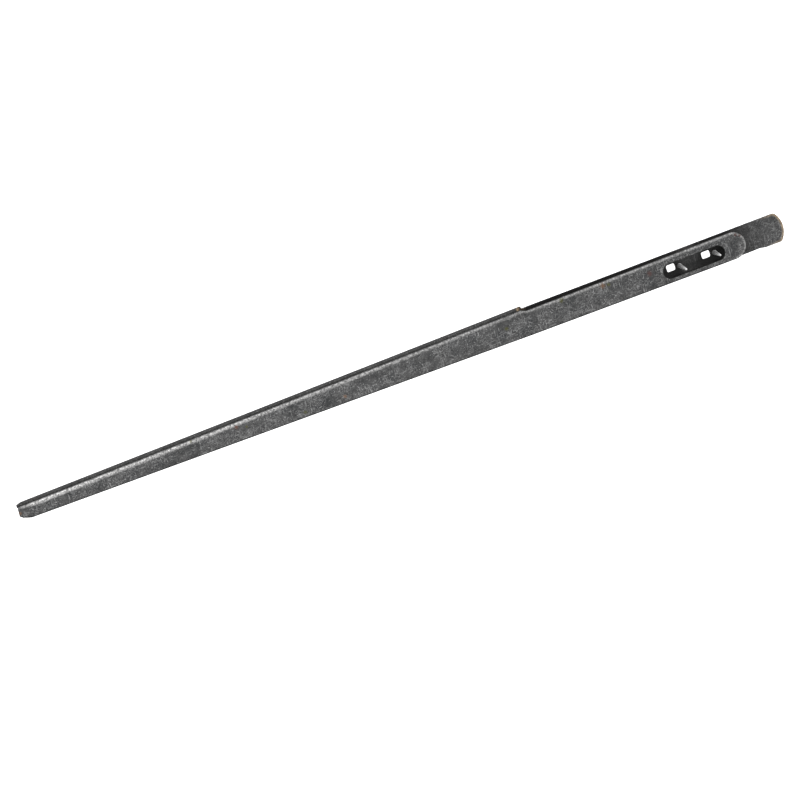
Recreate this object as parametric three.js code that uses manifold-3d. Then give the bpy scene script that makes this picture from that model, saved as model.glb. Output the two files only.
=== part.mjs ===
// A slender two-jaw gripping needle of formed steel sheet, in millimetres.
// X runs from the narrow tip to the wide head, Y across the width, Z up from the face it rests on.
// The tapered shank is a channel closed by a front leaf. Past the notch the leaf is free: it springs
// away from the longer rear blade, whose two teeth stand in the leaf's slot.
import * as THREE from "three";
import { mergeVertices } from "three/addons/utils/BufferGeometryUtils.js";
import Module from "manifold-3d";

const wasm = await Module();
wasm.setup();

// ---- driving dimensions ----
const LENGTH = 150; // tip to the end of the head
const DEPTH = 3.8; // rest face to front face
const SHEET = 0.6; // thickness of both sheets
const SEAM = 0.05; // clearance where two pieces meet
const LEAF_Z = DEPTH - SHEET; // underside of the front leaf

// The taper: the front leaf's edges from the axis, at the tip and at the notch.
const TIP_LEFT = 1.3; // +Y edge
const TIP_RIGHT = 1.34; // -Y edge
const NOTCH_LEFT = 2.46;
const NOTCH_RIGHT = 2.56;
const NOTCH_X = 99; // where the side walls end and the jaws begin
const WALL_STANDOUT = 0.42; // the channel is wider than the leaf on its +Y side
const WALL_INSET = 0.05; // and just narrower on its -Y side
const WALL_SLOPE = 0.8; // length of the slanted end of each wall

// The front jaw, from the notch to its round end.
const JAW_LEFT_START = 2.02; // +Y edge at the notch
const JAW_ROUND_X = 138.9; // centre of the round end
const JAW_ROUND_Y = -0.28;
const JAW_ROUND_R = 2.5;
const HINGE_GAP = 0.3; // between the fixed leaf and the jaw, where the leaf flexes

// The slot in the jaw and the holes beneath it.
const SLOT_Y = -0.56;
const SLOT_X = 131.3;
const SLOT_LENGTH = 11.9;
const SLOT_WIDTH = 2.74;
const HOLE_Y = -0.43; // centre line of the holes
const HOLE_PITCH = 6.9;
const HOLE_CORNER = 0.34; // radius of the corners of each hole, which is a rounded rectangle
const HOLE_STRETCH = [0.52, 0.31]; // from its centre to the centres of those corners, along and across
const HOLE_FLARE = 0.15; // rounding-over of each hole's upper edge, as a chamfer

// The rear blade and its head.
const BLADE_LEFT = 2.36; // +Y edge, parallel to the axis
const BLADE_RIGHT_END = -2.91; // -Y edge at the neck
const LIP_END_X = 144.2; // end of the low lip on the -Y edge
const LIP_HEIGHT = 1.05;
const LIP_THICKNESS = 0.45;
const NECK_X = 144.7; // where the shoulders of the head start
const SHOULDER_X = 145.8; // and where the head has its full width
const HEAD_LEFT = 2.36;
const HEAD_RIGHT = -3.13;
const HEAD_END_RADIUS = 4.1; // arc across the end of the head
const HEAD_CORNER = 0.55;

// Edges.
const BEND_OUTER = 0.7; // outside radius of the channel's bends
const BEND_INNER = 0.2;
const LEAF_EDGE = 0.25; // rounding of the leaf's sheared edge
const BLADE_EDGE = 0.12;

// The teeth: pins staked through the blade beside the holes.
const TOOTH_OFFSET = 1.5; // from a hole's centre to its tooth, towards the head
const TOOTH_Y = -0.55;
const STAKE_RADIUS = 0.4;
const TOOTH_BASE_RADIUS = 0.44;
const TOOTH_POINT_RADIUS = 0.22;
const TOOTH_TOP = 3.0;
const TOOTH_LEAN_FROM = 0.9; // height at which the lean starts
// Sideways travel of each tooth for each millimetre of height, in X and Y: use has bent them unequally.
const TOOTH_LEANS = [
  [0.16, -0.36],
  [0.08, -0.26],
];

// The leaf's end slants a little, and the -Y corner of the tip is worn.
const TIP_SLANT = 0.25; // how far the leaf's end is cut back at its +Y edge
// How far the worn corner is cut back, at each distance in from the -Y edge.
const NICK = [
  [2.0, 0],
  [1.4, 0.17],
  [0.5, 0.47],
  [0, 0.94],
];

const SECTION_REFERENCE = 10; // half width at which sections are drawn before they are tapered
const ROUND_STEPS = 6; // segments in each quarter of a small round
const TOOL_OVERRUN = 1; // how far a cutting solid runs past the material
const MERGE_WITHIN = 1e-4; // points closer than this are one point
const ON_CENTRE = 1e-6; // points closer than this to a cutter's centre line stay on it

const steel = new THREE.MeshStandardMaterial({ color: 0x5c5d5f, metalness: 0.7, roughness: 0.55 });
const worn = new THREE.MeshStandardMaterial({ color: 0x66676a, metalness: 0.75, roughness: 0.5 });
const bright = new THREE.MeshStandardMaterial({ color: 0x9a9a96, metalness: 0.9, roughness: 0.35 });

// ---- solids ----
function solid(geometry) {
  const bare = geometry.clone();
  bare.deleteAttribute("normal");
  bare.deleteAttribute("uv");
  const merged = mergeVertices(bare, MERGE_WITHIN);
  return new wasm.Manifold(
    new wasm.Mesh({
      numProp: 3,
      vertProperties: merged.attributes.position.array,
      triVerts: new Uint32Array(merged.index.array),
    }),
  );
}

function meshOf(name, body, material) {
  const made = body.getMesh();
  const geometry = new THREE.BufferGeometry();
  geometry.setAttribute("position", new THREE.BufferAttribute(made.vertProperties, 3));
  geometry.setIndex(new THREE.BufferAttribute(made.triVerts, 1));
  geometry.computeVertexNormals();
  const mesh = new THREE.Mesh(geometry, material);
  mesh.name = name;
  return mesh;
}

// Edges of the tapered leaf at a distance from the tip.
function leafLeft(x) {
  return THREE.MathUtils.lerp(TIP_LEFT, NOTCH_LEFT, x / NOTCH_X);
}

function leafRight(x) {
  return -THREE.MathUtils.lerp(TIP_RIGHT, NOTCH_RIGHT, x / NOTCH_X);
}

// -Y edge of the jaw and of the blade past the notch: straight lines to their ends.
function jawRight(x) {
  const end = JAW_ROUND_Y - JAW_ROUND_R;
  return THREE.MathUtils.mapLinear(x, NOTCH_X, JAW_ROUND_X, -NOTCH_RIGHT, end);
}

function bladeRight(x) {
  return THREE.MathUtils.mapLinear(x, NOTCH_X, NECK_X, -NOTCH_RIGHT + WALL_INSET, BLADE_RIGHT_END);
}

// A section in Y and Z, drawn at the reference half width, run along X. Its two sides then move in
// to the edges given for each end, so the wall thickness stays the same along the taper.
function taperedBar(section, fromX, toX, leftEdge, rightEdge) {
  const geometry = new THREE.ExtrudeGeometry(section, {
    depth: toX - fromX,
    bevelEnabled: false,
    curveSegments: ROUND_STEPS,
  });
  geometry.rotateX(Math.PI / 2);
  geometry.rotateZ(Math.PI / 2);
  geometry.translate(fromX, 0, 0);
  const position = geometry.attributes.position;
  for (let i = 0; i < position.count; i++) {
    const x = position.getX(i);
    const y = position.getY(i);
    const moved = y > 0 ? y - SECTION_REFERENCE + leftEdge(x) : y + SECTION_REFERENCE + rightEdge(x);
    position.setY(i, moved);
  }
  return solid(geometry);
}

// A plate with a plan outline, its edges rounded by the given amount.
function plate(outline, bottom, thickness, rounding) {
  const geometry = new THREE.ExtrudeGeometry(outline, {
    depth: thickness - 2 * rounding,
    bevelEnabled: true,
    bevelSize: rounding,
    bevelOffset: -rounding,
    bevelThickness: rounding,
    bevelSegments: 3,
    curveSegments: 2 * ROUND_STEPS,
  });
  geometry.translate(0, 0, bottom + rounding);
  return solid(geometry);
}

function prismAcross(points, fromY, toY) {
  const outline = new THREE.Shape(points.map(([x, z]) => new THREE.Vector2(x, z)));
  const geometry = new THREE.ExtrudeGeometry(outline, { depth: toY - fromY, bevelEnabled: false });
  geometry.rotateX(Math.PI / 2);
  geometry.translate(0, toY, 0);
  return solid(geometry);
}

// The worn corner of the tip, and the slant of its end, cut from every piece that reaches it.
function tipCutter(slant) {
  const outline = new THREE.Shape([
    new THREE.Vector2(-TOOL_OVERRUN, -TIP_RIGHT - TOOL_OVERRUN),
    new THREE.Vector2(NICK[0][0], -TIP_RIGHT - TOOL_OVERRUN),
    ...NICK.map(([back, inward]) => new THREE.Vector2(back, -TIP_RIGHT + inward)),
    new THREE.Vector2(slant, TIP_LEFT),
    new THREE.Vector2(slant, TIP_LEFT + TOOL_OVERRUN),
    new THREE.Vector2(-TOOL_OVERRUN, TIP_LEFT + TOOL_OVERRUN),
  ]);
  const geometry = new THREE.ExtrudeGeometry(outline, {
    depth: DEPTH + 2 * TOOL_OVERRUN,
    bevelEnabled: false,
  });
  geometry.translate(0, 0, -TOOL_OVERRUN);
  return solid(geometry);
}

// ---- rear shell: the channel, the rear blade and the head, one formed sheet ----
// The U section: two walls on a floor, with bent corners.
function channelSection(wallTop) {
  const side = SECTION_REFERENCE;
  const inner = side - SHEET;
  const s = new THREE.Shape();
  s.moveTo(side, wallTop);
  s.lineTo(side, BEND_OUTER);
  s.absarc(side - BEND_OUTER, BEND_OUTER, BEND_OUTER, 0, -Math.PI / 2, true);
  s.lineTo(-side + BEND_OUTER, 0);
  s.absarc(-side + BEND_OUTER, BEND_OUTER, BEND_OUTER, -Math.PI / 2, -Math.PI, true);
  s.lineTo(-side, wallTop);
  s.lineTo(-inner, wallTop);
  s.lineTo(-inner, SHEET + BEND_INNER);
  s.absarc(-inner + BEND_INNER, SHEET + BEND_INNER, BEND_INNER, Math.PI, 1.5 * Math.PI, false);
  s.lineTo(inner - BEND_INNER, SHEET);
  s.absarc(inner - BEND_INNER, SHEET + BEND_INNER, BEND_INNER, 1.5 * Math.PI, 2 * Math.PI, false);
  s.lineTo(inner, wallTop);
  s.closePath();
  return s;
}

// Plan outline of the rear blade and head, from just inside the channel.
function bladeOutline() {
  const start = NOTCH_X - 2 * WALL_SLOPE;
  const middle = (HEAD_LEFT + HEAD_RIGHT) / 2;
  const halfWidth = (HEAD_LEFT - HEAD_RIGHT) / 2;
  const arcCentre = LENGTH - HEAD_END_RADIUS;
  const sweep = Math.asin((halfWidth - HEAD_CORNER / 2) / HEAD_END_RADIUS);
  const cornerX = arcCentre + HEAD_END_RADIUS * Math.cos(sweep);
  const s = new THREE.Shape();
  s.moveTo(start, bladeRight(start));
  s.lineTo(NECK_X, BLADE_RIGHT_END);
  s.lineTo(SHOULDER_X, HEAD_RIGHT);
  s.lineTo(cornerX - HEAD_CORNER, HEAD_RIGHT);
  s.quadraticCurveTo(
    cornerX - HEAD_CORNER / 4,
    HEAD_RIGHT,
    cornerX,
    middle - HEAD_END_RADIUS * Math.sin(sweep),
  );
  s.absarc(arcCentre, middle, HEAD_END_RADIUS, -sweep, sweep, false);
  s.quadraticCurveTo(cornerX - HEAD_CORNER / 4, HEAD_LEFT, cornerX - HEAD_CORNER, HEAD_LEFT);
  s.lineTo(start, BLADE_LEFT);
  s.closePath();
  return s;
}

// A round cutter, its radius given at the bottom and at the top. The stretch moves its four quarters
// apart, along and across, which makes it a rounded rectangle.
function roundCutter(x, y, bottom, top, lowRadius, highRadius, [along, across] = [0, 0]) {
  const steps = 6 * ROUND_STEPS;
  const turn = Math.PI / steps;
  const geometry = new THREE.CylinderGeometry(highRadius, lowRadius, top - bottom, steps, 1, false, turn);
  const position = geometry.attributes.position;
  for (let i = 0; i < position.count; i++) {
    const [px, pz] = [position.getX(i), position.getZ(i)];
    if (Math.hypot(px, pz) < ON_CENTRE) continue;
    position.setX(i, px + Math.sign(px) * along);
    position.setZ(i, pz + Math.sign(pz) * across);
  }
  geometry.rotateX(Math.PI / 2);
  geometry.translate(x, y, (bottom + top) / 2);
  return solid(geometry);
}

const holeCentres = [-HOLE_PITCH / 2, HOLE_PITCH / 2].map((offset) => SLOT_X + offset);

function rearShell() {
  const wallTop = LEAF_Z - SEAM;
  const channel = taperedBar(
    channelSection(wallTop),
    0,
    NOTCH_X,
    (x) => leafLeft(x) + WALL_STANDOUT,
    (x) => leafRight(x) + WALL_INSET,
  );
  // The walls end in a slant that leans back over the channel.
  const slant = prismAcross(
    [
      [NOTCH_X - WALL_SLOPE, DEPTH + TOOL_OVERRUN],
      [NOTCH_X - WALL_SLOPE, wallTop],
      [NOTCH_X, SHEET],
      [NOTCH_X + TOOL_OVERRUN, SHEET],
      [NOTCH_X + TOOL_OVERRUN, DEPTH + TOOL_OVERRUN],
    ],
    -2 * NOTCH_RIGHT,
    2 * NOTCH_LEFT,
  );
  const blade = plate(bladeOutline(), 0, SHEET, BLADE_EDGE);

  // The low lip left on the -Y edge of the blade, running out before the head.
  const lipStart = NOTCH_X - WALL_SLOPE;
  const lipPlan = new THREE.Shape([
    new THREE.Vector2(lipStart, bladeRight(lipStart)),
    new THREE.Vector2(LIP_END_X, bladeRight(LIP_END_X)),
    new THREE.Vector2(LIP_END_X, bladeRight(LIP_END_X) + LIP_THICKNESS),
    new THREE.Vector2(lipStart, bladeRight(lipStart) + LIP_THICKNESS),
  ]);
  const lip = plate(lipPlan, 0, LIP_HEIGHT, BLADE_EDGE);
  const lipRunOut = prismAcross(
    [
      [LIP_END_X - 2 * LIP_HEIGHT, DEPTH],
      [LIP_END_X - 2 * LIP_HEIGHT, LIP_HEIGHT],
      [LIP_END_X, SHEET / 2],
      [LIP_END_X + TOOL_OVERRUN, SHEET / 2],
      [LIP_END_X + TOOL_OVERRUN, DEPTH],
    ],
    -2 * NOTCH_RIGHT,
    2 * NOTCH_LEFT,
  );

  let shell = channel.subtract(slant).add(blade).add(lip.subtract(lipRunOut));
  for (const x of holeCentres) {
    const stakeHole = STAKE_RADIUS + SEAM;
    const flareBottom = SHEET - HOLE_FLARE;
    const flareTop = SHEET + HOLE_FLARE;
    const flareCorner = HOLE_CORNER + 2 * HOLE_FLARE;
    const through = roundCutter(x, HOLE_Y, -SHEET, DEPTH, HOLE_CORNER, HOLE_CORNER, HOLE_STRETCH);
    const flare = roundCutter(x, HOLE_Y, flareBottom, flareTop, HOLE_CORNER, flareCorner, HOLE_STRETCH);
    const stake = roundCutter(x + TOOTH_OFFSET, TOOTH_Y, -SHEET, DEPTH, stakeHole, stakeHole);
    shell = shell.subtract(through).subtract(flare).subtract(stake);
  }
  return shell.subtract(tipCutter(0));
}

// ---- front leaf: the fixed part that closes the channel ----
function frontLeaf() {
  const end = NOTCH_X - HINGE_GAP;
  const outline = new THREE.Shape([
    new THREE.Vector2(0, leafRight(0)),
    new THREE.Vector2(end, leafRight(end)),
    new THREE.Vector2(end, leafLeft(end)),
    new THREE.Vector2(0, leafLeft(0)),
  ]);
  return plate(outline, LEAF_Z, SHEET, LEAF_EDGE).subtract(tipCutter(TIP_SLANT));
}

// ---- front jaw: the free part of the leaf, with its slot and round end ----
function slotPath() {
  const radius = SLOT_WIDTH / 2;
  const reach = SLOT_LENGTH / 2 - radius;
  const path = new THREE.Path();
  path.absarc(SLOT_X + reach, SLOT_Y, radius, Math.PI / 2, -Math.PI / 2, true);
  path.absarc(SLOT_X - reach, SLOT_Y, radius, -Math.PI / 2, -1.5 * Math.PI, true);
  path.closePath();
  return path;
}

function frontJaw() {
  const s = new THREE.Shape();
  s.moveTo(NOTCH_X, jawRight(NOTCH_X));
  s.lineTo(JAW_ROUND_X, JAW_ROUND_Y - JAW_ROUND_R);
  s.absarc(JAW_ROUND_X, JAW_ROUND_Y, JAW_ROUND_R, -Math.PI / 2, Math.PI / 2, false);
  s.lineTo(NOTCH_X, JAW_LEFT_START);
  s.closePath();
  s.holes.push(slotPath());
  return plate(s, LEAF_Z, SHEET, LEAF_EDGE);
}

// ---- teeth ----
// A tooth is turned upright and then leaned over above the blade.
function tooth(x, [leanX, leanY]) {
  const profile = [
    [0, 0],
    [STAKE_RADIUS, 0],
    [STAKE_RADIUS, SHEET + SEAM],
    [TOOTH_BASE_RADIUS, SHEET + SEAM],
    [TOOTH_BASE_RADIUS, TOOTH_LEAN_FROM],
    [TOOTH_POINT_RADIUS, TOOTH_TOP],
    [0, TOOTH_TOP + TOOTH_POINT_RADIUS],
  ];
  const geometry = new THREE.LatheGeometry(
    profile.map(([radius, z]) => new THREE.Vector2(radius, z)),
    2 * ROUND_STEPS,
  );
  geometry.rotateX(Math.PI / 2);
  const position = geometry.attributes.position;
  for (let i = 0; i < position.count; i++) {
    const height = Math.max(0, position.getZ(i) - TOOTH_LEAN_FROM);
    position.setX(i, position.getX(i) + leanX * height);
    position.setY(i, position.getY(i) + leanY * height);
  }
  geometry.translate(x, TOOTH_Y, 0);
  return solid(geometry);
}

const part = new THREE.Group();
part.add(meshOf("rear_shell", rearShell(), steel));
part.add(meshOf("front_leaf", frontLeaf(), worn));
part.add(meshOf("front_jaw", frontJaw(), worn));
holeCentres.forEach((x, i) => {
  part.add(meshOf(`grip_tooth_${i + 1}`, tooth(x + TOOTH_OFFSET, TOOTH_LEANS[i]), bright));
});

// The frame's origin is under the middle of the whole length and width.
const widestLeft = NOTCH_LEFT + WALL_STANDOUT;
part.position.set(-LENGTH / 2, -(HEAD_RIGHT + widestLeft) / 2, 0);

export default part;
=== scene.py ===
import math

import bmesh
import bpy
from mathutils import Matrix, Vector
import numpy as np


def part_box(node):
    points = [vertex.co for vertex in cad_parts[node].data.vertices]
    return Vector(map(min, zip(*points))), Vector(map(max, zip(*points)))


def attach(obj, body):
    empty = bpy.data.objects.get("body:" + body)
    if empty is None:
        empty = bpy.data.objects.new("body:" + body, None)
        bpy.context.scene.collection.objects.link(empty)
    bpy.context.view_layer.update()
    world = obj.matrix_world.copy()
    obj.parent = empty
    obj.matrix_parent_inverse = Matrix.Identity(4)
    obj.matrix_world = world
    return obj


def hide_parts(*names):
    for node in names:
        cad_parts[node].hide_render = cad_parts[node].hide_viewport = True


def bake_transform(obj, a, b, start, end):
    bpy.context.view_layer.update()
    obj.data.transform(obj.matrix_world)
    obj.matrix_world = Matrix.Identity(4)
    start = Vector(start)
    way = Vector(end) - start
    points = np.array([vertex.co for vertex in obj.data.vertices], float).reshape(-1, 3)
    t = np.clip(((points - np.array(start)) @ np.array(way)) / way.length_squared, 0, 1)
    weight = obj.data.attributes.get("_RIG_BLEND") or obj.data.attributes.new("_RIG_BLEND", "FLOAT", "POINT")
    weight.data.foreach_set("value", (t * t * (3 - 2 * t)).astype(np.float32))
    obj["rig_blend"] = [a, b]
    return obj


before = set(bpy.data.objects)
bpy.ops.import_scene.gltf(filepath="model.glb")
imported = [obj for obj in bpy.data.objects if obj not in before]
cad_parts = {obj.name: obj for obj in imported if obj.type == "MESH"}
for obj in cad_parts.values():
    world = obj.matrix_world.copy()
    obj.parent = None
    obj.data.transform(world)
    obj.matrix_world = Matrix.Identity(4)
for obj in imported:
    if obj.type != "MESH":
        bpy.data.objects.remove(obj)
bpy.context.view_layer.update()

MM = 0.001

# ---- places taken from the frame ----
shell_low, shell_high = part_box("rear_shell")
leaf_low, leaf_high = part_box("front_leaf")
jaw_low, jaw_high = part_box("front_jaw")

TIP_X = leaf_low.x
NOTCH_X = jaw_low.x
HEAD_X = shell_high.x
JAW_EDGE = 2.22 * MM  # from the axis to the jaw's +Y edge at its round end
AXIS_Y = jaw_high.y - JAW_EDGE
LEAF_BOTTOM = leaf_low.z
LEAF_TOP = leaf_high.z
SHEET = LEAF_TOP - LEAF_BOTTOM
NOTCH_HALF = 2.46 * MM
NOTCH_RIGHT = 2.56 * MM
TIP_HALF = 1.3 * MM
TIP_RIGHT = 1.34 * MM
JAW_ROUND_R = 2.5 * MM
JAW_ROUND_X = jaw_high.x - JAW_ROUND_R
JAW_ROUND_Y = jaw_low.y + JAW_ROUND_R
JAW_LEFT_START = AXIS_Y + 2.02 * MM
# The worn corner of the tip: how far the end is cut back at each distance in from the -Y edge.
NICK = [(0.0, 2.0 * MM), (0.17 * MM, 1.4 * MM), (0.47 * MM, 0.5 * MM), (0.94 * MM, 0.0)]
TIP_BLEND = 3 * MM
NOTCH_STEP = 0.9 * MM
TIP_SLANT = 0.25 * MM

SLOT_X = TIP_X + 131.3 * MM
SLOT_Y = AXIS_Y - 0.56 * MM
SLOT_LENGTH = 11.9 * MM
SLOT_WIDTH = 2.74 * MM

HOLE_Y = AXIS_Y - 0.43 * MM
HOLE_PITCH = 6.9 * MM
HOLE_CORNER = 0.34 * MM
HOLE_STRETCH = (0.52 * MM, 0.31 * MM)
HOLE_FLARE = 0.15 * MM
HOLES = (SLOT_X - HOLE_PITCH / 2, SLOT_X + HOLE_PITCH / 2)

REST_Z = shell_low.z
SEAM = 0.05 * MM
WALL_TOP = LEAF_BOTTOM - SEAM
WALL_STANDOUT = 0.42 * MM
WALL_INSET = 0.05 * MM
WALL_SLOPE = 0.8 * MM
LIP_HEIGHT = 1.05 * MM
LIP_RUN_OUT = TIP_X + 142.1 * MM
LIP_END = TIP_X + 144.2 * MM
HEAD_START = TIP_X + 144.5 * MM
NECK_X = TIP_X + 144.7 * MM
SHOULDER_X = TIP_X + 145.8 * MM
BLADE_LEFT = AXIS_Y + 2.36 * MM
BLADE_RIGHT_END = AXIS_Y - 2.91 * MM
HEAD_RIGHT = AXIS_Y - 3.13 * MM
HEAD_END_RADIUS = 4.1 * MM
HEAD_CORNER = 0.55 * MM
BEND_OUTER = 0.7 * MM
BEND_INNER = 0.2 * MM
BLADE_EDGE = 0.12 * MM

# Rounding of the leaf's edges, stretch by stretch.
CROWN_RADIUS = 0.56 * MM
PLAIN_RADIUS = 0.16 * MM
JAW_END_RADIUS = 0.26 * MM
JAW_SIDE_RADIUS = 0.4 * MM
STEP_RADIUS = 0.3 * MM
UNDER_RADIUS = 0.1 * MM

# How rubbed those edges are, from 0 to 1, and how wide the rubbing is on the flat beside them: partly real
# wear, partly a painted highlight where the rounded edges catch the light.
NOTCH_RUB_AND_HIGHLIGHT = 0.25
JAW_END_RUB_AND_HIGHLIGHT = 0.5
JAW_SIDE_RUB_AND_HIGHLIGHT = 0.4
STEP_RUB_AND_HIGHLIGHT = 0.3
RUB_AND_HIGHLIGHT_WIDTH = 0.3 * MM
EDGE_FADE = 0.12 * MM

# How much painted shade the leaf's edges get, from 0 to 1: under the edge, and on edges where no highlight
# is painted.
LOW_EDGE_SHADE = 0.85
SIDE_SHADE = 0.9
CROWN_SHADE = 0.5

FLEX_LENGTH = 22 * MM  # of the leaf past the notch, which bends when the jaw springs
FLEX_CUTS = 14

# Spacing of points along the outlines.
FINE = 0.2 * MM
MEDIUM = 0.4 * MM
JAW_SPACING = 1.2 * MM
COARSE = 1.5 * MM

# Steps in the rounds of a plate's edge: rings 0 to UNDER_STEPS lie below, the next ones above.
UNDER_STEPS = 3
OVER_STEPS = 8
OVER_START = UNDER_STEPS + 1


# ---- node helpers ----
class Nodes:
    """A short way to write a material's node tree."""

    def __init__(self, material):
        material.use_nodes = True
        self.tree = material.node_tree
        self.tree.nodes.clear()

    def add(self, kind, values=None, **settings):
        node = self.tree.nodes.new(kind)
        for key, value in settings.items():
            setattr(node, key, value)
        for key, value in (values or {}).items():
            self.put(node, key, value)
        return node

    def put(self, node, key, value):
        socket = node.inputs[key]
        if isinstance(value, bpy.types.NodeSocket):
            self.tree.links.new(value, socket)
        else:
            socket.default_value = value

    def math(self, operation, a, b=0.0, clamp=False):
        return self.add("ShaderNodeMath", {0: a, 1: b}, operation=operation, use_clamp=clamp).outputs[0]

    def remap(self, value, low, high, to_low=0.0, to_high=1.0):
        node = self.add("ShaderNodeMapRange", {0: value, 1: low, 2: high, 3: to_low, 4: to_high})
        return node.outputs[0]

    def mix(self, amount, a, b):
        node = self.add("ShaderNodeMix", data_type="RGBA")
        self.put(node, 0, amount)
        self.put(node, 6, a)
        self.put(node, 7, b)
        return node.outputs[2]

    def noise(self, where, scale, detail=3.0, rough=0.5, stretch=(1, 1, 1), turn=0.0):
        place = self.add(
            "ShaderNodeMapping",
            {"Vector": where, "Scale": stretch, "Rotation": (0, 0, turn)},
            vector_type="TEXTURE" if turn else "POINT",
        )
        if turn:
            place.inputs["Scale"].default_value = tuple(1 / s for s in stretch)
        values = {"Vector": place.outputs[0], "Scale": scale, "Detail": detail, "Roughness": rough}
        return self.add("ShaderNodeTexNoise", values).outputs[0]


# Sets of scratches: direction, how many to the millimetre across them, strength.
SCRATCHES = (
    (0.05, 5.0, 0.6),
    (-0.62, 6.5, 0.65),
    (1.5, 4.5, 0.7),
    (1.15, 6.0, 0.55),
    (0.55, 7.5, 0.55),
)
PAINTED_SHADE_GREY = 0.028  # near-black grey of the painted shade and shadow, mixed in where 'shade' says


def grey(value, warm=0.0):
    return (value * (1 + warm), value, value * (1 - warm), 1)


def steel_material(name, tone, speck, worn_and_lit, spots=(), metal=0.9, rough=0.5):
    """Blackened sheet steel: mottled, speckled and scratched, rubbed bright and given a painted highlight
    where
    'wear_and_highlight' says, darkened by painted shade where 'shade' says, browned where 'rust' says and at
    each spot (place, radius, colour)."""
    material = bpy.data.materials.new(name)
    n = Nodes(material)
    place = n.add("ShaderNodeTexCoord").outputs["Object"]
    in_mm = n.add("ShaderNodeVectorMath", {0: place, 1: (1000, 1000, 1000)}, operation="MULTIPLY").outputs[0]

    cloud = n.noise(in_mm, 0.35, 4, 0.6)
    mottle = n.noise(in_mm, 1.7, 5, 0.65)
    grain = n.noise(in_mm, 5.5, 4, 0.7)
    fleck = n.noise(in_mm, 3.4, 2, 0.5)
    patchy = n.remap(n.noise(in_mm, 0.3, 3, 0.6), 0.42, 0.56, 0.25, 1)
    colour = n.mix(n.remap(mottle, 0.34, 0.66), grey(tone * 0.6), grey(tone * 1.3))
    colour = n.mix(n.remap(cloud, 0.42, 0.62, 0, 0.75), colour, grey(tone * 0.5, -0.04))
    bright = n.math("MULTIPLY", n.remap(grain, 0.5, 0.66, 0, 1), patchy)
    colour = n.mix(bright, colour, grey(speck))
    colour = n.mix(n.remap(grain, 0.42, 0.3, 0, 0.85), colour, grey(tone * 0.3))
    flecks = n.math("MULTIPLY", n.remap(fleck, 0.6, 0.68, 0, 1), patchy)
    colour = n.mix(flecks, colour, grey(speck * 1.5))

    scratch = None
    for turn, across, share in SCRATCHES:
        lines = n.noise(in_mm, 1.0, 2, 0.4, stretch=(0.7, 1.2 * across, 4.0), turn=turn)
        patch = n.noise(in_mm, 0.35 + across / 40, 1, 0.5)
        line = n.math("MULTIPLY", n.remap(lines, 0.6, 0.68), n.remap(patch, 0.46, 0.58, 0, share))
        scratch = line if scratch is None else n.math("MAXIMUM", scratch, line)
    colour = n.mix(scratch, colour, grey(speck * 1.6))

    # Wear and painted highlight: partly real rubbed bare metal, partly a painted highlight standing in for
    # the light that rounded edges catch.
    wear_and_highlight = n.add("ShaderNodeAttribute", attribute_name="wear_and_highlight").outputs["Fac"]
    breakup = n.noise(in_mm, 2.6, 5, 0.75)
    rub_and_highlight = n.math("MULTIPLY", wear_and_highlight, n.remap(breakup, 0.42, 0.6, 0.12, 1), clamp=True)
    colour = n.mix(rub_and_highlight, colour, grey(worn_and_lit, 0.01))

    # Painted shade: near-black grey where 'shade' says, for shadow between the jaws, in the slot, under the
    # leaf's edges and on edges turned from the light.
    shade = n.add("ShaderNodeAttribute", attribute_name="shade").outputs["Fac"]
    colour = n.mix(shade, colour, grey(PAINTED_SHADE_GREY))

    rust = n.add("ShaderNodeAttribute", attribute_name="rust").outputs["Fac"]
    rusty = n.math("MULTIPLY", rust, n.remap(breakup, 0.34, 0.56, 0.3, 1), clamp=True)
    brown = n.mix(n.remap(mottle, 0.4, 0.6), (0.32, 0.2, 0.1, 1), (0.5, 0.38, 0.24, 1))
    colour = n.mix(rusty, colour, brown)
    for (x, y, z), radius, tint in spots:
        away = n.add("ShaderNodeVectorMath", {0: in_mm, 1: (x, y, z)}, operation="DISTANCE").outputs["Value"]
        ragged = n.math("ADD", away, n.remap(grain, 0.3, 0.7, -radius * 0.6, radius * 0.6))
        colour = n.mix(n.remap(ragged, radius, radius * 0.3, 0, 0.75), colour, tint)

    spread = n.remap(mottle, 0.3, 0.7, rough + 0.1, rough - 0.08)
    spread = n.math("SUBTRACT", spread, n.math("MULTIPLY", rub_and_highlight, 0.14))
    spread = n.math("ADD", spread, n.math("MULTIPLY", rusty, 0.2), clamp=True)
    height = n.math("ADD", n.math("MULTIPLY", grain, 0.5), n.math("MULTIPLY", mottle, 0.5))
    height = n.math("SUBTRACT", height, n.math("MULTIPLY", scratch, 0.5))
    bump = n.add("ShaderNodeBump", {"Height": height, "Strength": 0.35, "Distance": 0.00008})
    metallic = n.math("SUBTRACT", metal, n.math("MULTIPLY", rusty, 0.6), clamp=True)
    shader = n.add(
        "ShaderNodeBsdfPrincipled",
        {"Base Color": colour, "Roughness": spread, "Metallic": metallic, "Normal": bump.outputs[0]},
    )
    out = n.add("ShaderNodeOutputMaterial")
    n.tree.links.new(shader.outputs[0], out.inputs[0])
    return material


# ---- mesh helpers ----
def ramp(x, start, end, before, after):
    """From one value to another between two places."""
    share = min(1, max(0, (x - start) / (end - start)))
    return before + (after - before) * share


def object_from(bm, name, material):
    mesh = bpy.data.meshes.new(name)
    bmesh.ops.recalc_face_normals(bm, faces=bm.faces)
    bm.to_mesh(mesh)
    bm.free()
    for polygon in mesh.polygons:
        polygon.use_smooth = True
    mesh.set_sharp_from_angle(angle=math.radians(50))
    mesh.materials.append(material)
    made = bpy.data.objects.new(name, mesh)
    bpy.context.scene.collection.objects.link(made)
    return made


def weighted_normals(obj):
    modifier = obj.modifiers.new("even shading", "WEIGHTED_NORMAL")
    modifier.keep_sharp = True
    modifier.weight = 90
    return obj


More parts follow.
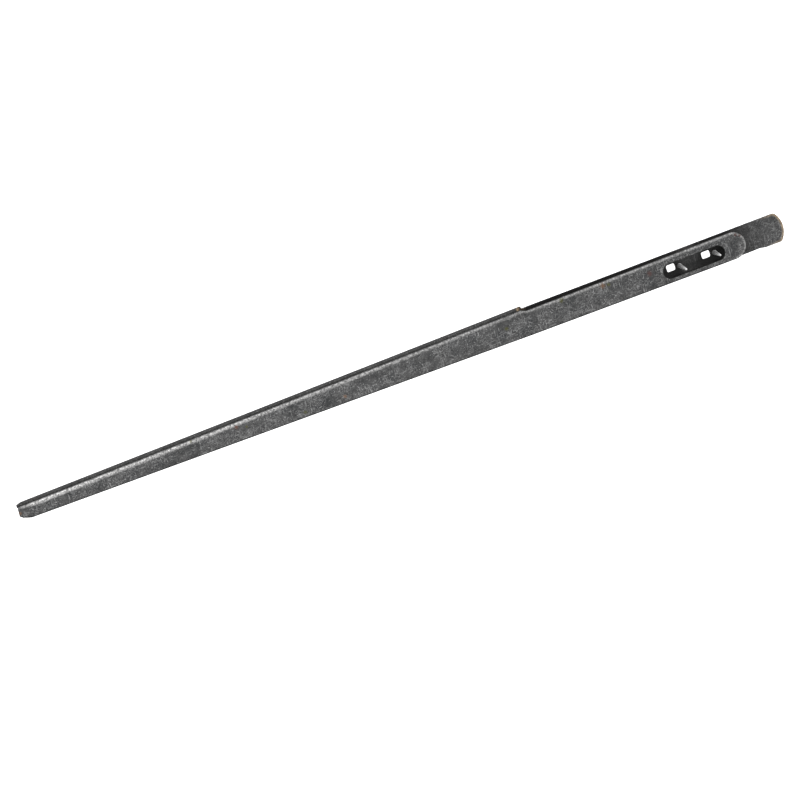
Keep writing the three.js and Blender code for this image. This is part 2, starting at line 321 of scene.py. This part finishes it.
def arc(centre, radius, start, end, steps):
    made = []
    for i in range(steps + 1):
        angle = start + (end - start) * i / steps
        made.append(Vector((centre[0] + radius * math.cos(angle), centre[1] + radius * math.sin(angle))))
    return made


def line(a, b, spacing):
    a, b = Vector(a), Vector(b)
    steps = max(1, round((b - a).length / spacing))
    return [a.lerp(b, i / steps) for i in range(steps)]


def inward_offsets(loop, hole=False):
    """Unit inward directions at each point of a counter-clockwise loop, longer at corners."""
    made = []
    count = len(loop)
    for i in range(count):
        before = (loop[i] - loop[i - 1]).normalized()
        after = (loop[(i + 1) % count] - loop[i]).normalized()
        normal_a = Vector((-before.y, before.x))
        normal_b = Vector((-after.y, after.x))
        total = normal_a + normal_b
        scale = 2 / max(total.length_squared, 0.8)
        made.append(total * scale * (-1 if hole else 1))
    return made


def rim_rings(bm, loop, directions, bottom, top, under, over, layer, wear_and_highlight_of):
    """Rings of vertices up the edge of a plate: a small round below and a round of its own size above at
    each point. The last ring lies flat, a little further in, where the rubbing and its painted highlight
    end."""
    rings = []
    levels = []
    for i in range(UNDER_STEPS + 1):
        levels.append(("under", math.pi / 2 * i / UNDER_STEPS))
    for i in range(OVER_STEPS + 1):
        levels.append(("over", math.pi / 2 * i / OVER_STEPS))
    levels.append(("flat", 0))
    for kind, angle in levels:
        ring = []
        for i, point in enumerate(loop):
            radius = over[i]
            if kind == "under":
                inset, z = under * (1 - math.sin(angle)), bottom + under * (1 - math.cos(angle))
                wear_and_highlight = 0.15
            elif kind == "over":
                inset, z = radius * (1 - math.cos(angle)), top - radius * (1 - math.sin(angle))
                wear_and_highlight = 0.25 + 0.75 * math.sin(angle)
            else:
                inset, z, wear_and_highlight = radius + EDGE_FADE + RUB_AND_HIGHLIGHT_WIDTH * wear_and_highlight_of[i], top, 0
            spot = point + directions[i] * inset
            vertex = bm.verts.new((spot.x, spot.y, z))
            vertex[layer] = wear_and_highlight * wear_and_highlight_of[i]
            ring.append(vertex)
        rings.append(ring)
    for lower, upper in zip(rings, rings[1:]):
        count = len(lower)
        for i in range(count):
            j = (i + 1) % count
            bm.faces.new((lower[i], lower[j], upper[j], upper[i]))
    return rings


def fill_between(bm, rings, up):
    """A flat face inside the rings, facing up (1) or down (-1)."""
    edges = []
    for ring in rings:
        for i, vertex in enumerate(ring):
            edges.append(bm.edges.get((vertex, ring[(i + 1) % len(ring)])))
    bmesh.ops.triangle_fill(bm, use_beauty=True, edges=edges, normal=Vector((0, 0, up)))


# ---- the front leaf: fixed part and springing jaw as the one sheet they are ----
def leaf_left(x):
    return AXIS_Y + TIP_HALF + (NOTCH_HALF - TIP_HALF) * (x - TIP_X) / (NOTCH_X - TIP_X)


def leaf_right(x):
    return AXIS_Y - TIP_RIGHT - (NOTCH_RIGHT - TIP_RIGHT) * (x - TIP_X) / (NOTCH_X - TIP_X)


def leaf_outline():
    """Counter-clockwise outline and, for each point, the rounding of its upper edge and how much rub and
    painted highlight it gets.
    """
    right_end = (JAW_ROUND_X, JAW_ROUND_Y - JAW_ROUND_R)
    left_end = (JAW_ROUND_X, JAW_ROUND_Y + JAW_ROUND_R)
    nick = [(TIP_X + back, leaf_right(TIP_X + back) + inward) for inward, back in NICK]
    notch_right = (NOTCH_X, leaf_right(NOTCH_X))
    step_low = (NOTCH_X + NOTCH_STEP / 2, JAW_LEFT_START)
    step_high = (NOTCH_X - NOTCH_STEP / 2, leaf_left(NOTCH_X - NOTCH_STEP / 2))
    tip_left = (TIP_X + TIP_SLANT, leaf_left(TIP_X + TIP_SLANT))

    round_end = arc((JAW_ROUND_X, JAW_ROUND_Y), JAW_ROUND_R, -math.pi / 2, math.pi / 2, 40)[:-1]
    inwards = nick[::-1]

    # Each stretch with its rounding and its rub with painted highlight. None stands for the long edge, whose
    # painted highlight and rub fade from the tip to the notch.
    runs = [(line(a, b, FINE), PLAIN_RADIUS, 0) for a, b in zip(inwards, inwards[1:])]
    runs += [
        (line(nick[0], notch_right, COARSE), PLAIN_RADIUS, 0),
        (line(notch_right, right_end, JAW_SPACING), PLAIN_RADIUS, 0),
        (round_end, JAW_END_RADIUS, JAW_END_RUB_AND_HIGHLIGHT),
        (line(left_end, step_low, JAW_SPACING), JAW_SIDE_RADIUS, JAW_SIDE_RUB_AND_HIGHLIGHT),
        (line(step_low, step_high, FINE), STEP_RADIUS, STEP_RUB_AND_HIGHLIGHT),
        (line(step_high, tip_left, COARSE), CROWN_RADIUS, None),
        (line(tip_left, nick[-1], MEDIUM), PLAIN_RADIUS, 0),
    ]
    points, radii, wear_and_highlight = [], [], []
    for run, radius, rub_and_highlight in runs:
        points += run
        radii += [radius] * len(run)
        wear_and_highlight += [ramp(p.x, TIP_X, NOTCH_X, 1, NOTCH_RUB_AND_HIGHLIGHT) if rub_and_highlight is None else rub_and_highlight for p in run]
    return points, softened(radii), softened(wear_and_highlight)


def softened(values, passes=2):
    """The values round a loop, each averaged with its neighbours."""
    count = len(values)
    for _ in range(passes):
        values = [(values[i - 1] + 2 * values[i] + values[(i + 1) % count]) / 4 for i in range(count)]
    return values


def slot_outline():
    radius = SLOT_WIDTH / 2
    reach = SLOT_LENGTH / 2 - radius
    right = arc((SLOT_X + reach, SLOT_Y), radius, -math.pi / 2, math.pi / 2, 24)
    left = arc((SLOT_X - reach, SLOT_Y), radius, math.pi / 2, 1.5 * math.pi, 24)
    return right + left


def cut_across(bm, places):
    """Edges across the sheet, so that it bends smoothly."""
    for x in places:
        geometry = bm.verts[:] + bm.edges[:] + bm.faces[:]
        bmesh.ops.bisect_plane(bm, geom=geometry, dist=1e-7, plane_co=(x, 0, 0), plane_no=(1, 0, 0))


def edge_shade(level, rub_and_highlight):
    """How much painted shade a ring of the leaf's outer edge gets: most below the round, and elsewhere only
    where no rub or highlight is painted.
    """
    if level < OVER_START + 2:
        return LOW_EDGE_SHADE
    share = CROWN_SHADE if level == OVER_START + OVER_STEPS else SIDE_SHADE
    return share * max(0, 1 - rub_and_highlight / NOTCH_RUB_AND_HIGHLIGHT)


def build_leaf(material):
    """The whole leaf, in the shank as far as the notch and carried by the jaw past the flex."""
    bm = bmesh.new()
    bm.verts.layers.float.new("wear_and_highlight")
    bm.verts.layers.float.new("shade")
    layer = bm.verts.layers.float["wear_and_highlight"]
    shade = bm.verts.layers.float["shade"]
    loop, radii, wear_and_highlight = leaf_outline()
    outer = rim_rings(
        bm, loop, inward_offsets(loop), LEAF_BOTTOM, LEAF_TOP, UNDER_RADIUS, radii, layer, wear_and_highlight
    )
    hole = slot_outline()
    count = len(hole)
    inner = rim_rings(
        bm,
        hole,
        inward_offsets(hole, hole=True),
        LEAF_BOTTOM,
        LEAF_TOP,
        UNDER_RADIUS,
        [PLAIN_RADIUS] * count,
        layer,
        [0] * count,
    )
    # Painted shade on the slot's walls.
    for ring in inner[:OVER_START + 4]:
        for vertex in ring:
            vertex[shade] = SIDE_SHADE
    # Painted shade on the outer edge: under the round, and on edges turned from the light such as the -Y
    # edge.
    for level, ring in enumerate(outer[:-1]):
        for vertex, rub_and_highlight in zip(ring, wear_and_highlight):
            vertex[shade] = edge_shade(level, rub_and_highlight)
    fill_between(bm, [outer[-1], inner[-1]], 1)
    fill_between(bm, [outer[0], inner[0]], -1)
    cut_across(bm, [NOTCH_X + FLEX_LENGTH * i / FLEX_CUTS for i in range(FLEX_CUTS + 1)])
    leaf = weighted_normals(object_from(bm, "front_leaf_sheet", material))
    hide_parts("front_leaf", "front_jaw")
    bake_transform(leaf, "shank", "jaw", start=(NOTCH_X, 0, 0), end=(NOTCH_X + FLEX_LENGTH, 0, 0))


# ---- the rear shell: channel, rear blade with its low lip, and head ----
def tip_cut(y):
    """How far the end of the tip is cut back at a place across it."""
    inward = y - (AXIS_Y - TIP_RIGHT)
    for (near, back), (far, next_back) in zip(NICK, NICK[1:]):
        if inward < far:
            return ramp(inward, near, far, back, next_back)
    return 0.0


def blade_right(x):
    """The -Y edge of the rear blade."""
    return ramp(x, NOTCH_X, NECK_X, AXIS_Y - NOTCH_RIGHT + WALL_INSET, BLADE_RIGHT_END)


def shell_section(x):
    """Closed section of the shell at a distance along it, as (y, z) points."""
    if x < NOTCH_X:
        left, right = leaf_left(x) + WALL_STANDOUT, leaf_right(x) + WALL_INSET
    else:
        left = ramp(x, NOTCH_X, NOTCH_X + 0.3 * MM, AXIS_Y + NOTCH_HALF + WALL_STANDOUT, BLADE_LEFT)
        right = blade_right(x)
    top_left = ramp(x, NOTCH_X - WALL_SLOPE, NOTCH_X, WALL_TOP, REST_Z + SHEET)
    top_right = max(
        ramp(x, NOTCH_X - WALL_SLOPE, NOTCH_X, WALL_TOP, REST_Z + SHEET),
        ramp(x, LIP_RUN_OUT, LIP_END, REST_Z + LIP_HEIGHT, REST_Z + SHEET),
    )
    bend_left = ramp(x, NOTCH_X, NOTCH_X + MM, BEND_OUTER, BLADE_EDGE)
    bend_right = ramp(x, LIP_RUN_OUT, LIP_END, BEND_OUTER, BLADE_EDGE)
    bend_right = min(bend_right, ramp(x, NOTCH_X, NOTCH_X + MM, BEND_OUTER, 0.5 * MM))

    points = []

    def round_off(y, z, radius, start, end, steps):
        for point in arc((y, z), radius, start, end, steps):
            points.append((point.x, point.y))

    quarter = math.pi / 2
    for side, edge, bend, top in ((1, left, bend_left, top_left), (-1, right, bend_right, top_right)):
        over = (edge - side * BLADE_EDGE, top - BLADE_EDGE, BLADE_EDGE)
        under = (edge - side * bend, REST_Z + bend, bend)
        if side > 0:
            round_off(*over, quarter, 0, 4)
            round_off(*under, 0, -quarter, 8)
        else:
            round_off(*under, -quarter, -2 * quarter, 8)
            round_off(*over, 2 * quarter, quarter, 4)
    floor = REST_Z + SHEET
    for side, inner, top in ((-1, right + SHEET, top_right), (1, left - SHEET, top_left)):
        spare = (top - floor) / 2
        fillet, edge = min(BEND_INNER, spare), min(0.08 * MM, spare)
        fillet_centre = (inner - side * fillet, floor + fillet, fillet)
        edge_centre = (inner + side * edge, top - edge, edge)
        if side < 0:
            round_off(*edge_centre, quarter, 0, 3)
            round_off(*fillet_centre, 2 * quarter, 3 * quarter, 4)
        else:
            round_off(*fillet_centre, 3 * quarter, 4 * quarter, 4)
            round_off(*edge_centre, 2 * quarter, quarter, 3)
    return points


def stations():
    """Places along the shell where it gets a section: close together where its shape changes."""
    made = []
    stops = (
        (TIP_X, 0.2),
        (TIP_X + TIP_BLEND, 1.5),
        (NOTCH_X - WALL_SLOPE - 0.6 * MM, 0.1),
        (NOTCH_X + MM, 1.2),
        (LIP_RUN_OUT, 0.15),
        (HEAD_START, None),
    )
    for (start, spacing), (end, _) in zip(stops, stops[1:]):
        steps = round((end - start) / (spacing * MM))
        made += [start + (end - start) * i / steps for i in range(steps)]
    return made + [HEAD_START]


def hole_cutter(profile, x, y, name):
    """An upright cutter, a rounded rectangle in section, from (corner radius, z) points. The profile
    starts and ends on its axis."""
    bm = bmesh.new()
    steps = 40
    rings = []
    for radius, z in profile:
        if radius == 0:
            rings.append([bm.verts.new((x, y, z))])
            continue
        ring = []
        for i in range(steps):
            angle = 2 * math.pi * (i + 0.5) / steps
            along = radius * math.cos(angle) + math.copysign(HOLE_STRETCH[0], math.cos(angle))
            across = radius * math.sin(angle) + math.copysign(HOLE_STRETCH[1], math.sin(angle))
            ring.append(bm.verts.new((x + along, y + across, z)))
        rings.append(ring)
    for lower, upper in zip(rings, rings[1:]):
        for i in range(steps):
            j = (i + 1) % steps
            below = lower[i % len(lower)], lower[j % len(lower)]
            above = upper[j % len(upper)], upper[i % len(upper)]
            bm.faces.new(dict.fromkeys(below + above))
    bmesh.ops.recalc_face_normals(bm, faces=bm.faces)
    mesh = bpy.data.meshes.new(name)
    bm.to_mesh(mesh)
    bm.free()
    made = bpy.data.objects.new(name, mesh)
    bpy.context.scene.collection.objects.link(made)
    return made


HOLE_STEPS = 6  # in the rounding of a hole's upper edge


def cut_holes(body):
    """The two through holes, with rounded upper edges, taken out of the blade."""
    cutters = []
    for x in HOLES:
        top = REST_Z + SHEET
        profile = [(0, REST_Z - MM), (HOLE_CORNER, REST_Z - MM), (HOLE_CORNER, top - HOLE_FLARE)]
        for i in range(1, HOLE_STEPS + 1):
            angle = math.pi / 2 * i / HOLE_STEPS
            out = HOLE_CORNER + HOLE_FLARE * (1 - math.cos(angle))
            profile.append((out, top - HOLE_FLARE * (1 - math.sin(angle))))
        profile += [(HOLE_CORNER + HOLE_FLARE, top + MM), (0, top + MM)]
        cutters.append(hole_cutter(profile, x, HOLE_Y, "hole_cutter"))
    for cutter in cutters:
        modifier = body.modifiers.new("hole", "BOOLEAN")
        modifier.object = cutter
        modifier.operation = "DIFFERENCE"
        modifier.solver = "EXACT"
    graph = bpy.context.evaluated_depsgraph_get()
    cut = bpy.data.meshes.new_from_object(body.evaluated_get(graph))
    body.modifiers.clear()
    body.data = cut
    for cutter in cutters:
        bpy.data.objects.remove(cutter)


def shell_finish_and_shade(place):
    """How rubbed and lit by a painted highlight, how browned, and how much painted shade the shell gets at a
    place.
    """
    wall = place.x < NOTCH_X
    # Wear with painted light: the upper part of the channel's walls is a little lighter.
    wear_and_highlight = 0.15 * ramp(place.z, REST_Z + 2 * MM, REST_Z + 2.8 * MM, 0, 1) if wall else 0.0
    # Painted shadow under the leaf's edge, along the top of the walls.
    seam_shadow = 0.6 * ramp(place.z, WALL_TOP - 0.08 * MM, WALL_TOP, 0, 1) if wall else 0.0
    rust = ramp(place.x, NOTCH_X - 1.15 * MM, NOTCH_X - 0.85 * MM, 0, 1) * ramp(
        place.x, NOTCH_X + 0.4 * MM, NOTCH_X + MM, 1, 0
    )
    rust *= ramp(place.y, AXIS_Y, AXIS_Y + 1.5 * MM, 0, 1)
    rust *= ramp(place.z, REST_Z + MM, REST_Z + 2 * MM, 0.2, 1)
    # Painted shadow between the jaws, fading out towards the head, with none on the underside.
    inside = ramp(place.x, NOTCH_X - 0.4 * MM, NOTCH_X, 0, 1) * neck_shade(place.x)
    inside *= ramp(place.z, REST_Z, REST_Z + 0.3 * MM, 0, 1)
    # Less painted shade on the web between the holes: painted light where light reaches it through the slot.
    inside *= ramp(abs(place.x - SLOT_X), 1.4 * MM, 2.2 * MM, 0.65, 1)
    # Painted shade on the end of the tip.
    return wear_and_highlight, rust, max(inside, seam_shadow, ramp(place.x, TIP_X, TIP_X + 0.5 * MM, 1, 0))


def neck_shade(x):
    """Painted shadow: full between the jaws, fading out towards the end of the head."""
    return ramp(x, TIP_X + 139 * MM, TIP_X + 147 * MM, 1, 0)


def sweep_shell():
    """The shell up to the head, with its holes: its sections joined from station to station."""
    bm = bmesh.new()
    rings = []
    for x in stations():
        kept = max(0, 1 - (x - TIP_X) / TIP_BLEND)
        rings.append([bm.verts.new((x + kept * tip_cut(y), y, z)) for y, z in shell_section(x)])
    for back, front in zip(rings, rings[1:]):
        count = len(back)
        for i in range(count):
            j = (i + 1) % count
            bm.faces.new((back[i], back[j], front[j], front[i]))
    bm.faces.new(rings[0])
    bm.faces.new(rings[-1])
    bmesh.ops.remove_doubles(bm, verts=bm.verts, dist=1e-7)
    bmesh.ops.dissolve_degenerate(bm, edges=bm.edges, dist=1e-7)
    bmesh.ops.recalc_face_normals(bm, faces=bm.faces)
    mesh = bpy.data.meshes.new("rear_shell_sheet")
    bm.to_mesh(mesh)
    bm.free()
    body = bpy.data.objects.new("rear_shell_sheet", mesh)
    bpy.context.scene.collection.objects.link(body)
    cut_holes(body)
    return body


def head_outline():
    """Counter-clockwise outline of the head, from its -Y corner at the neck."""
    middle = (BLADE_LEFT + HEAD_RIGHT) / 2
    half = (BLADE_LEFT - HEAD_RIGHT) / 2
    centre = HEAD_X - HEAD_END_RADIUS
    sweep = math.asin((half - HEAD_CORNER / 2) / HEAD_END_RADIUS)
    corner = centre + HEAD_END_RADIUS * math.cos(sweep)

    def rounded(y, side):
        start = Vector((corner - HEAD_CORNER, y))
        pull = Vector((corner - HEAD_CORNER / 4, y))
        end = Vector((corner, middle + side * HEAD_END_RADIUS * math.sin(sweep)))
        curve = []
        for i in range(7):
            t = i / 6
            curve.append(start * (1 - t) ** 2 + pull * 2 * t * (1 - t) + end * t * t)
        return curve

    right_start = (HEAD_START, blade_right(HEAD_START))
    low = rounded(HEAD_RIGHT, -1)
    high = rounded(BLADE_LEFT, 1)[::-1]
    loop = line(right_start, (NECK_X, BLADE_RIGHT_END), 0.2 * MM)
    loop += line((NECK_X, BLADE_RIGHT_END), (SHOULDER_X, HEAD_RIGHT), 0.2 * MM)
    loop += line((SHOULDER_X, HEAD_RIGHT), low[0], 0.4 * MM)
    loop += low[:-1]
    loop += arc((centre, middle), HEAD_END_RADIUS, -sweep, sweep, 30)[:-1]
    loop += high[:-1]
    loop += line(high[-1], (HEAD_START, BLADE_LEFT), 0.4 * MM)
    loop.append(Vector((HEAD_START, BLADE_LEFT)))
    return loop


def build_head():
    bm = bmesh.new()
    layer = bm.verts.layers.float.new("wear_and_highlight")
    loop = head_outline()
    directions = inward_offsets(loop)
    directions[0] = Vector((0, 1))
    directions[-1] = Vector((0, -1))
    # Rub and painted highlight on the head's edges, growing towards its end.
    worn_and_lit = [ramp(p.x, HEAD_START, HEAD_X - MM, 0.15, 1) for p in loop]
    top = REST_Z + SHEET
    rings = rim_rings(bm, loop, directions, REST_Z, top, BLADE_EDGE, [BLADE_EDGE] * len(loop), layer, worn_and_lit)
    fill_between(bm, [rings[-1]], 1)
    fill_between(bm, [rings[0]], -1)
    return bm


def build_shell(material):
    """The swept shell and the head as one piece, with its finish: rust, wear with a painted highlight, and
    painted shade.
    """
    body = sweep_shell()
    bm = bmesh.new()
    bm.from_mesh(body.data)
    for name in ("wear_and_highlight", "rust", "shade"):
        bm.verts.layers.float.new(name)
    wear_and_highlight, rust, shade = (bm.verts.layers.float[name] for name in ("wear_and_highlight", "rust", "shade"))
    for vertex in bm.verts:
        vertex[wear_and_highlight], vertex[rust], vertex[shade] = shell_finish_and_shade(vertex.co)
    head = build_head()
    head_layer = head.verts.layers.float["wear_and_highlight"]
    twins = {}
    for vertex in head.verts:
        twin = bm.verts.new(vertex.co)
        # The head's wear with painted highlight, and painted shadow near the neck.
        twin[wear_and_highlight] = 0.4 * vertex[head_layer]
        twin[shade] = neck_shade(vertex.co.x)
        twin[rust] = vertex[head_layer] * ramp(vertex.co.x, SHOULDER_X, HEAD_X - 0.8 * MM, 0, 1)
        twins[vertex] = twin
    for face in head.faces:
        bm.faces.new([twins[vertex] for vertex in face.verts])
    head.free()
    bpy.data.objects.remove(body)
    shell = weighted_normals(object_from(bm, "rear_shell_formed", material))
    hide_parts("rear_shell")
    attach(shell, "shank")


# ---- the teeth ----
TOOTH_OFFSET = 1.5 * MM
TOOTH_Y = AXIS_Y - 0.55 * MM
TOOTH_RADIUS = 0.44 * MM
STAKE_RADIUS = 0.4 * MM
TOOTH_POINT = 0.2 * MM
TOOTH_LEANS = ((0.16, -0.36), (0.08, -0.26))
LEAN_FROM = REST_Z + 0.9 * MM


def build_tooth(number, material):
    """A staked pin that leans over above the blade, with a blunt round point."""
    low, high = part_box(f"grip_tooth_{number}")
    lean_x, lean_y = TOOTH_LEANS[number - 1]
    foot = REST_Z + SHEET + 0.05 * MM
    shoulder = high.z - TOOTH_POINT
    profile = [(STAKE_RADIUS, low.z), (STAKE_RADIUS, foot), (TOOTH_RADIUS, foot + 0.03 * MM)]
    for i in range(13):
        share = i / 12
        radius = TOOTH_RADIUS + (TOOTH_POINT - TOOTH_RADIUS) * share
        profile.append((radius, LEAN_FROM + (shoulder - LEAN_FROM) * share))
    for i in range(1, 6):
        angle = math.pi / 2 * i / 6
        profile.append((TOOTH_POINT * math.cos(angle), shoulder + TOOTH_POINT * math.sin(angle)))
    bm = bmesh.new()
    shade = bm.verts.layers.float.new("shade")
    steps = 28
    centre_x = HOLES[number - 1] + TOOTH_OFFSET
    rings = []
    for radius, z in profile:
        rise = max(0, z - LEAN_FROM)
        x, y = centre_x + lean_x * rise, TOOTH_Y + lean_y * rise
        rings.append([bm.verts.new((p.x, p.y, z)) for p in arc((x, y), radius, 0, 2 * math.pi, steps)[:-1]])
    for lower, upper in zip(rings, rings[1:]):
        for i in range(steps):
            j = (i + 1) % steps
            bm.faces.new((lower[i], lower[j], upper[j], upper[i]))
    # Painted shade on the side of each tooth that faces its hole, less towards the point.
    for ring in rings:
        for i, vertex in enumerate(ring):
            towards_hole = -math.cos(2 * math.pi * i / steps + 0.5)
            vertex[shade] = ramp(towards_hole, 0.1, 0.7, 0, 0.85)
            vertex[shade] *= ramp(vertex.co.z, LEAN_FROM, high.z, 1, 0.2)
    bm.faces.new(rings[0])
    bm.faces.new(rings[-1])
    tooth = object_from(bm, f"tooth_{number}", material)
    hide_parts(f"grip_tooth_{number}")
    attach(tooth, "shank")


# ---- materials ----
OLIVE = (0.1, 0.1, 0.035, 1)
ORANGE = (0.2, 0.11, 0.06, 1)
BROWN = (0.17, 0.075, 0.05, 1)
RED = (0.11, 0.06, 0.055, 1)


def spot(along, across, radius, tint):
    """A stain on the front face, placed in millimetres from the tip and from the axis."""
    return ((TIP_X / MM + along, AXIS_Y / MM + across, LEAF_TOP / MM), radius, tint)


leaf_spots = [
    spot(34, 1.5, 0.4, OLIVE),
    spot(42.7, 0.9, 0.45, BROWN),
    spot(44.5, 0.3, 0.3, OLIVE),
    spot(95, 0.2, 0.45, OLIVE),
    spot(106.1, 1.5, 0.5, OLIVE),
    spot(114.1, 1.35, 0.6, ORANGE),
    spot(115.2, 1.2, 0.4, OLIVE),
    spot(122.9, 0.4, 0.6, RED),
    spot(55.4, -1.05, 0.4, OLIVE),
    spot(63.2, -0.87, 0.4, ORANGE),
    spot(139.9, 1.5, 0.35, RED),
    spot(140.6, 1.1, 0.3, RED),
    spot(0.3, 0.1, 0.4, ORANGE),
]
notch_rust = ((NOTCH_X / MM, AXIS_Y / MM + NOTCH_HALF / MM + 0.1, 2.4), 0.7, (0.26, 0.16, 0.08, 1))

# The bright grey given as worn_and_lit is both rubbed metal and painted highlight.
leaf_steel = steel_material("leaf_steel", tone=0.087, speck=0.22, worn_and_lit=0.8, spots=leaf_spots)
shell_steel = steel_material("shell_steel", tone=0.088, speck=0.19, worn_and_lit=0.4, spots=[notch_rust])
# Pale, barely metallic finish on the teeth: partly bare steel, partly a painted glint.
tooth_steel = steel_material("tooth_steel", tone=0.9, speck=0.95, worn_and_lit=0.95, metal=0.2, rough=0.3)

build_leaf(leaf_steel)
build_shell(shell_steel)
for tooth_number in (1, 2):
    build_tooth(tooth_number, tooth_steel)


# ---- floor, light and camera ----
def make_floor():
    bm = bmesh.new()
    bmesh.ops.create_grid(bm, x_segments=2, y_segments=2, size=3)
    mesh = bpy.data.meshes.new("floor")
    bm.to_mesh(mesh)
    bm.free()
    floor = bpy.data.objects.new("floor", mesh)
    bpy.context.scene.collection.objects.link(floor)
    floor.location.z = shell_low.z - 0.05 * MM
    material = bpy.data.materials.new("floor_white")
    n = Nodes(material)
    shader = n.add(
        "ShaderNodeBsdfPrincipled",
        {
            "Base Color": (0.86, 0.86, 0.86, 1),
            "Roughness": 0.9,
            "Emission Color": (1, 1, 1, 1),
            "Emission Strength": 1.1,
        },
    )
    out = n.add("ShaderNodeOutputMaterial")
    n.tree.links.new(shader.outputs[0], out.inputs[0])
    mesh.materials.append(material)
    floor.visible_glossy = False
    floor.visible_diffuse = False


def area_light(name, place, target, size, power):
    data = bpy.data.lights.new(name, "AREA")
    data.shape = "RECTANGLE"
    data.size, data.size_y = size
    data.energy = power
    light = bpy.data.objects.new(name, data)
    bpy.context.scene.collection.objects.link(light)
    light.location = place
    light.rotation_mode = "QUATERNION"
    light.rotation_quaternion = (Vector(target) - Vector(place)).to_track_quat("-Z", "Y")


def make_world(below, above):
    world = bpy.data.worlds.new("studio")
    bpy.context.scene.world = world
    n = Nodes(world)
    direction = n.add("ShaderNodeTexCoord").outputs["Generated"]
    height = n.add("ShaderNodeSeparateXYZ", {0: direction}).outputs[2]
    sky = n.remap(height, -0.2, 0.35, below, above)
    background = n.add("ShaderNodeBackground", {"Color": (1, 1, 1, 1), "Strength": sky})
    out = n.add("ShaderNodeOutputWorld")
    n.tree.links.new(background.outputs[0], out.inputs[0])


CAMERA_DISTANCE = 200.2 * MM
CAMERA_ALONG = 72.3 * MM  # from the tip
CAMERA_ASIDE = 25.6 * MM  # towards +Y from the axis
AIM_ASIDE = -5.1 * MM
ROLL = math.radians(20.74)
LENS_MM = 49.9


def make_camera():
    data = bpy.data.cameras.new("camera")
    data.sensor_width = 36
    data.lens = LENS_MM
    data.clip_start = 0.01
    camera = bpy.data.objects.new("camera", data)
    bpy.context.scene.collection.objects.link(camera)
    place = Vector((TIP_X + CAMERA_ALONG, AXIS_Y + CAMERA_ASIDE, LEAF_TOP + CAMERA_DISTANCE))
    aim = Vector((TIP_X + CAMERA_ALONG, AXIS_Y + AIM_ASIDE, LEAF_TOP))
    back = (place - aim).normalized()
    along = Vector((1, 0, 0))
    over = back.cross(along)
    right = along * math.cos(ROLL) - over * math.sin(ROLL)
    up = along * math.sin(ROLL) + over * math.cos(ROLL)
    turn = Matrix((right, up, back)).transposed()
    camera.matrix_world = Matrix.Translation(place) @ turn.to_4x4()
    bpy.context.scene.camera = camera


bpy.context.scene.view_settings.view_transform = "Standard"
make_floor()
make_world(below=0.26, above=0.85)
area_light("key", (0.0, 0.45, 0.4), (0, 0, 0), size=(0.7, 0.35), power=1.6)
area_light("fill", (-0.1, -0.35, 0.6), (0, 0, 0), size=(0.6, 0.4), power=0.6)
make_camera()
